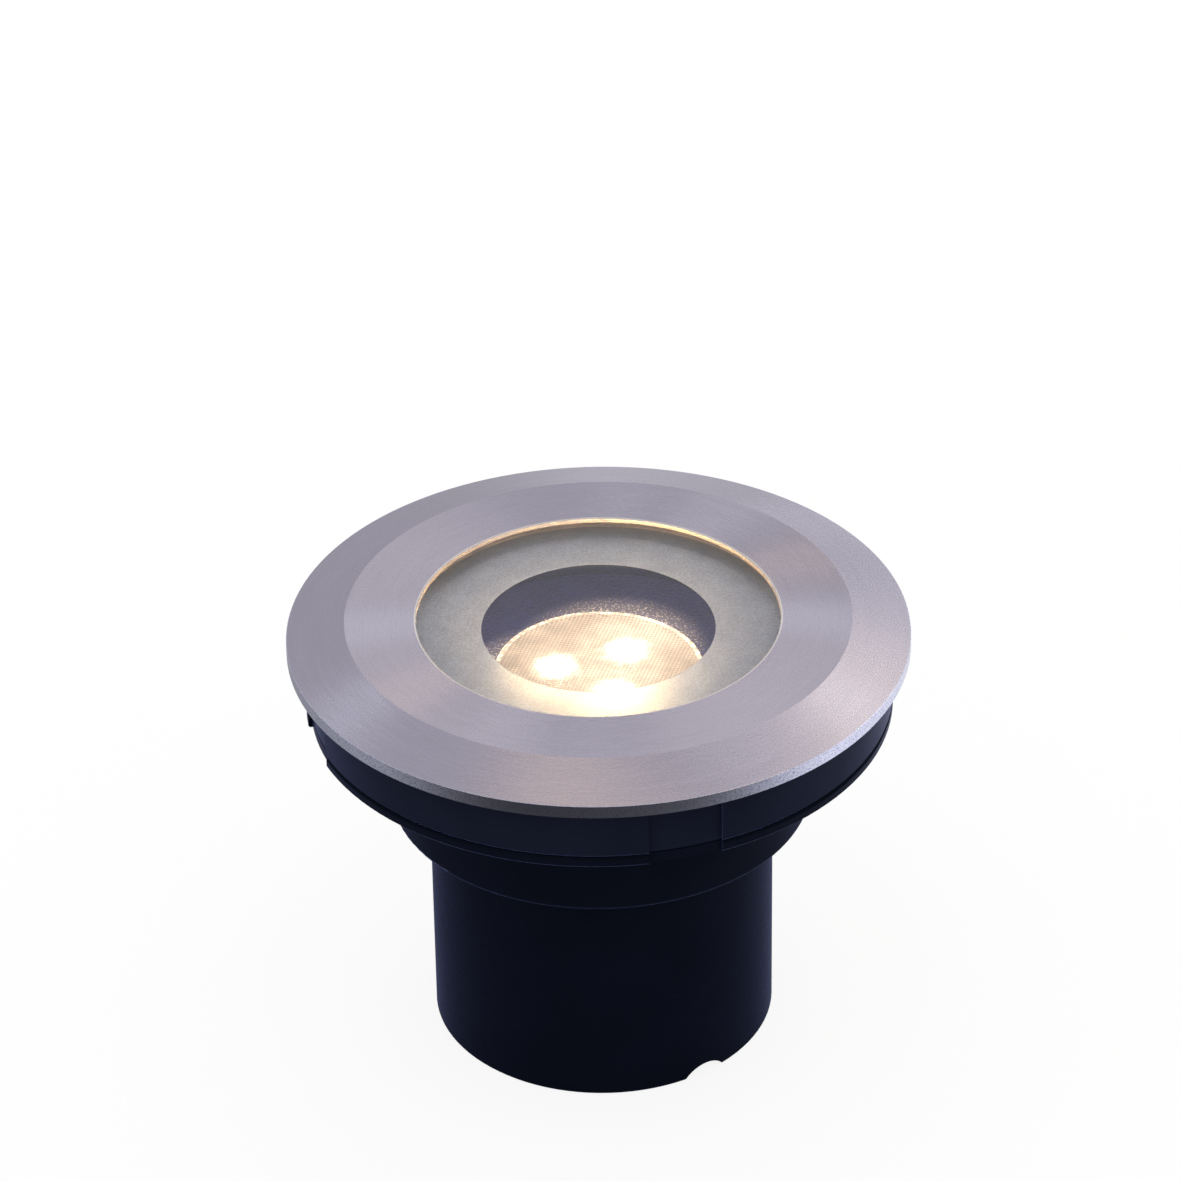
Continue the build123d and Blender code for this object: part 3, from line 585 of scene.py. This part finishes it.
def led_glow(tree, x, y, ripple):
    """The sum over the three emitters of a very bright core and two soft skirts, at this point."""
    glows = []
    for turn in LED_ANGLES:
        distance = plus(tree, ripple, distance_on_circle(tree, x, y, turn))
        core, halo, skirt = (ramp(tree, distance, *part) for part in (LED_CORE, LED_HALO, LED_SKIRT))
        glows.append(plus(tree, core, plus(tree, halo, skirt)))
    return plus(tree, *glows)


def cross_hatch(tree, x, y):
    """Two sets of waves at right angles, turned with the grid, from -1 to 1."""
    cosine, sine = math.cos(GRID_TURN), math.sin(GRID_TURN)
    turns = 2 * math.pi / GRID_PITCH
    along = plus(tree, times(tree, x, cosine), times(tree, y, sine))
    across = minus(tree, times(tree, y, cosine), times(tree, x, sine))
    waves = [math_node(tree, "SINE", times(tree, way, turns)) for way in (along, across)]
    return times(tree, plus(tree, *waves), 0.5)


def lit_lens():
    """Clear acrylic over warm emitters, whose light is painted on it as emission: three hot spots, a warm
    field, a cross-hatch and a bright rim.
    """
    material, tree = new_tree("lens_plastic")
    x, y, z = split(tree, position(tree))
    hatch = cross_hatch(tree, x, y)
    patches = noise(tree, position(tree), *PATCH_NOISE)
    uneven = noise(tree, position(tree), *FIELD_NOISE)
    glints = noise(tree, position(tree), *GLINT_NOISE)
    patch_ripple = spread(tree, patches, -PATCH_RIPPLE, PATCH_RIPPLE)
    ripple = plus(tree, times(tree, hatch, GRID_RIPPLE), patch_ripple)
    # Painted light: the field is brighter towards the right and the back, and the rim has painted glints.
    lit_side = plus(tree, ramp(tree, x, *LENS_TO_RIGHT), ramp(tree, y, *LENS_TO_BACK))
    field = plus(tree, spread(tree, uneven, *FIELD_LEVELS), lit_side, led_glow(tree, x, y, ripple))
    patterned = times(tree, field, plus(tree, times(tree, hatch, GRID_DEPTH), 1.0))
    rim = times(tree, ramp(tree, length(tree, x, y), *LENS_RIM), ramp(tree, glints, *GLINT_LEVELS))
    level = plus(tree, patterned, rim)
    colour = mix_colour(tree, ramp(tree, level, *LENS_GLOW_LEVELS), *LENS_GLOW)
    finish_material(tree, principled(tree, {
        "Base Color": (0.22, 0.19, 0.16),
        "Roughness": 0.25,
        "IOR": 1.49,
        "Normal": bump(tree, hatch, *GRID_BUMP),
        "Emission Color": scale_colour(tree, colour, times(tree, level, ramp(tree, z, *LENS_PLATE))),
        "Emission Strength": 1.0,
    }))
    return material


# Other materials
GRAIN_DETAIL = (2.0, 0.6)
GRAIN_SHARE = 0.6
CLOUD_SIZE = 15
METAL_NOISE = (900.0, 4.0, 0.6)
METAL_BUMP = (0.15, 0.00003)
PACKAGE_WHITE = (0.85, 0.84, 0.8)
PHOSPHOR = (0.95, 0.75, 0.3), (1.0, 0.85, 0.45)
PHOSPHOR_NOISE = (2500.0, 2.0)
PHOSPHOR_GLOW = (1.0, 0.8, 0.5)
DOME_HEIGHTS = (board_top + 0.75 * MM, board_top + 0.85 * MM, 0.0, 1.0)


def grained(name, low, high, roughness, scale=1500.0, depth=0.00008, strength=0.6):
    """Matt moulding or board with a spark-eroded grain and broader clouds."""
    material, tree = new_tree(name)
    place = position(tree)
    grain = noise(tree, place, scale, *GRAIN_DETAIL)
    cloud = noise(tree, place, scale / CLOUD_SIZE)
    tone = plus(tree, times(tree, grain, GRAIN_SHARE), times(tree, cloud, 1 - GRAIN_SHARE))
    finish_material(tree, principled(tree, {
        "Base Color": spread_colour(tree, tone, low, high),
        "Roughness": spread(tree, grain, roughness * 0.8, min(1.0, roughness * 1.2)),
        "Normal": bump(tree, grain, strength, depth),
    }))
    return material


def lit_baffle():
    """Coarse-grained blue-black moulding, with painted glints and a faint painted glow on its grain where
    light leaks out at the lens's edge.
    """
    material = grained("baffle_grain", *BAFFLE, 0.36, scale=1700.0, depth=0.0003, strength=1.0)
    tree = material.node_tree
    shader = tree.nodes["Principled BSDF"]
    # Painted light: emission near each emitter, in glints and a faint haze.
    x, y, _ = split(tree, position(tree))
    distances = [distance_on_circle(tree, x, y, turn + LEAK_TURN) for turn in LED_ANGLES]
    near = plus(tree, *(ramp(tree, distance, *LEAK_REACH) for distance in distances))
    painted_glints = ramp(tree, noise(tree, position(tree), *LEAK_NOISE), *LEAK_PAINTED_GLINTS)
    level = times(tree, near, plus(tree, painted_glints, LEAK_HAZE))
    tree.links.new(scale_colour(tree, LEAK_COLOUR, level), shader.inputs["Emission Color"])
    shader.inputs["Emission Strength"].default_value = 1.0
    return material


def bare_metal(name, low, high, roughness, stretch=(1, 1, 8)):
    """Turned, drawn or rolled metal with fine marks that run one way."""
    material, tree = new_tree(name)
    marks = noise(tree, stretched(tree, stretch), *METAL_NOISE)
    finish_material(tree, principled(tree, {
        "Base Color": spread_colour(tree, marks, low, high),
        "Metallic": 1.0,
        "Roughness": spread(tree, marks, roughness * 0.85, roughness * 1.2),
        "Normal": bump(tree, marks, *METAL_BUMP),
    }))
    return material


def lit_emitter():
    """Warm phosphor under a clear dome on a white package."""
    material, tree = new_tree("emitter")
    _, _, z = split(tree, position(tree))
    dome = ramp(tree, z, *DOME_HEIGHTS)
    speckle = noise(tree, position(tree), *PHOSPHOR_NOISE)
    phosphor = mix_colour(tree, speckle, *PHOSPHOR)
    finish_material(tree, principled(tree, {
        "Base Color": mix_colour(tree, dome, PACKAGE_WHITE, phosphor),
        "Roughness": 0.35,
        "Emission Color": scale_colour(tree, PHOSPHOR_GLOW, dome),
        "Emission Strength": 3.0,
    }))
    return material


black = black_moulding("black_moulding", (0.0030, 0.0040, 0.0088), sheen=0.22)
nylon = grained("nylon", (0.012, 0.012, 0.014), (0.03, 0.03, 0.034), 0.45)
silicone = grained("grey_silicone", (0.50, 0.49, 0.55), (0.68, 0.67, 0.74), 0.5)
rubber = grained("rubber", (0.03, 0.03, 0.034), (0.07, 0.07, 0.075), 0.75)
screw = bare_metal("screw_steel", (0.42, 0.42, 0.44), (0.62, 0.62, 0.63), 0.28)
looks = {
    "ground_sleeve": black,
    # The lamp body's black is paler with more sheen than the sleeve's: painted light, making up for the
    # ring's shade on the collar.
    "lamp_body": black_moulding("body_black_lit", (0.0066, 0.0082, 0.0172), sheen=0.32, paint_cup_light=True),
    "rear_cap": black,
    "trim_ring": brushed_ring(),
    "cover_glass": clear_glass(),
    "glass_gasket": silicone,
    "gland_washer": rubber,
    "gland_seal": rubber,
    "cap_o_ring": rubber,
    "ring_screws": screw,
    "heat_sink_screws": screw,
    "board_screws": screw,
    "cap_screws": screw,
    "driver_screws": screw,
    "clip_screws": screw,
    "heat_sink": bare_metal("aluminium", (0.62, 0.63, 0.66), (0.82, 0.83, 0.85), 0.35, stretch=(1, 6, 1)),
    "thermal_pad": grained("thermal_pad", (0.38, 0.40, 0.43), (0.52, 0.54, 0.57), 0.8),
    "led_board": grained(
        "white_board", (0.74, 0.74, 0.71), (0.88, 0.88, 0.85), 0.4, scale=900.0, depth=0.00002),
    "led_emitters": lit_emitter(),
    "lens": lit_lens(),
    "lens_holder": grained("matt_black", (0.012, 0.012, 0.014), (0.03, 0.03, 0.033), 0.6),
    "baffle": lit_baffle(),
    "driver_board": grained(
        "green_board", (0.02, 0.17, 0.07), (0.05, 0.27, 0.13), 0.35, scale=700.0, depth=0.00002),
    "driver_inductor": grained("ferrite", (0.03, 0.03, 0.03), (0.08, 0.08, 0.08), 0.6),
    "driver_capacitors": bare_metal("capacitor_can", (0.6, 0.6, 0.62), (0.78, 0.78, 0.8), 0.3),
    "bridge_rectifier": grained("chip_resin", (0.02, 0.02, 0.02), (0.045, 0.045, 0.045), 0.55),
    "driver_chip": grained(
        "chip_resin_fine", (0.018, 0.018, 0.02), (0.04, 0.04, 0.042), 0.5, scale=2500.0),
    "terminal_block": grained("terminal_green", (0.02, 0.28, 0.13), (0.06, 0.42, 0.22), 0.4),
    "lead_positive": grained("red_insulation", (0.45, 0.02, 0.02), (0.62, 0.05, 0.04), 0.4),
    "lead_negative": grained("black_insulation", (0.012, 0.012, 0.014), (0.03, 0.03, 0.032), 0.4),
    "gland_body": nylon,
    "gland_locknut": nylon,
    "gland_nut": nylon,
    "spring_clips": bare_metal("spring_steel", (0.5, 0.5, 0.53), (0.7, 0.7, 0.72), 0.25, stretch=(8, 8, 1)),
}
for name, piece in nodes.items():
    paint(piece, looks[name])


# Pieces
TURNED_SEGMENTS = 192
ROUND_STEPS = 4


def new_piece(name, mesh, body, material, smooth=True):
    for face in mesh.polygons:
        face.use_smooth = smooth
    piece = bpy.data.objects.new(name, mesh)
    bpy.context.collection.objects.link(piece)
    paint(piece, material)
    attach(piece, body)
    return piece


def turned(name, section):
    """A closed mesh: the section's (radius, height) points swept round the Z axis."""
    verts, faces = [], []
    count = len(section)
    for k in range(TURNED_SEGMENTS):
        turn = 2 * math.pi * k / TURNED_SEGMENTS
        verts += [(r * math.cos(turn), r * math.sin(turn), z) for r, z in section]
    for k in range(TURNED_SEGMENTS):
        here, after = k * count, (k + 1) % TURNED_SEGMENTS * count
        for j in range(count):
            following = (j + 1) % count
            faces.append((here + j, after + j, after + following, here + following))
    mesh = bpy.data.meshes.new(name)
    mesh.from_pydata(verts, [], faces)
    mesh.validate()
    return mesh


# The frosted face of the glass, as a thin layer just under it
new_piece(
    "frosted_band",
    turned("frosted_band", [
        (WINDOW_RADIUS, frost_top - FROST_THICKNESS),
        (FROST_OUTER_RADIUS, frost_top - FROST_THICKNESS),
        (FROST_OUTER_RADIUS, frost_top),
        (WINDOW_RADIUS, frost_top),
    ]),
    "lamp",
    frost(),
    smooth=False,
)

# The gasket is a moulded ring with rounded edges, a hair below the glass
gasket_low, gasket_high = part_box("glass_gasket")
gasket_outer = gasket_high[0]
gasket_inner = min(math.hypot(v.co.x, v.co.y) for v in nodes["glass_gasket"].data.vertices)
gasket_top = gasket_high[2] - GASKET_EASE
gasket_section = []
for corner_radius, corner_height, start in (
    (gasket_outer - GASKET_ROUND, gasket_low[2] + GASKET_ROUND, 270),
    (gasket_outer - GASKET_ROUND, gasket_top - GASKET_ROUND, 0),
    (gasket_inner + GASKET_ROUND, gasket_top - GASKET_ROUND, 90),
    (gasket_inner + GASKET_ROUND, gasket_low[2] + GASKET_ROUND, 180),
):
    for step in range(ROUND_STEPS + 1):
        turn = math.radians(start + 90 * step / ROUND_STEPS)
        gasket_section.append((
            corner_radius + GASKET_ROUND * math.cos(turn),
            corner_height + GASKET_ROUND * math.sin(turn),
        ))
gasket = new_piece("gasket_ring", turned("gasket_ring", gasket_section), "lamp", silicone)
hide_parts("glass_gasket")
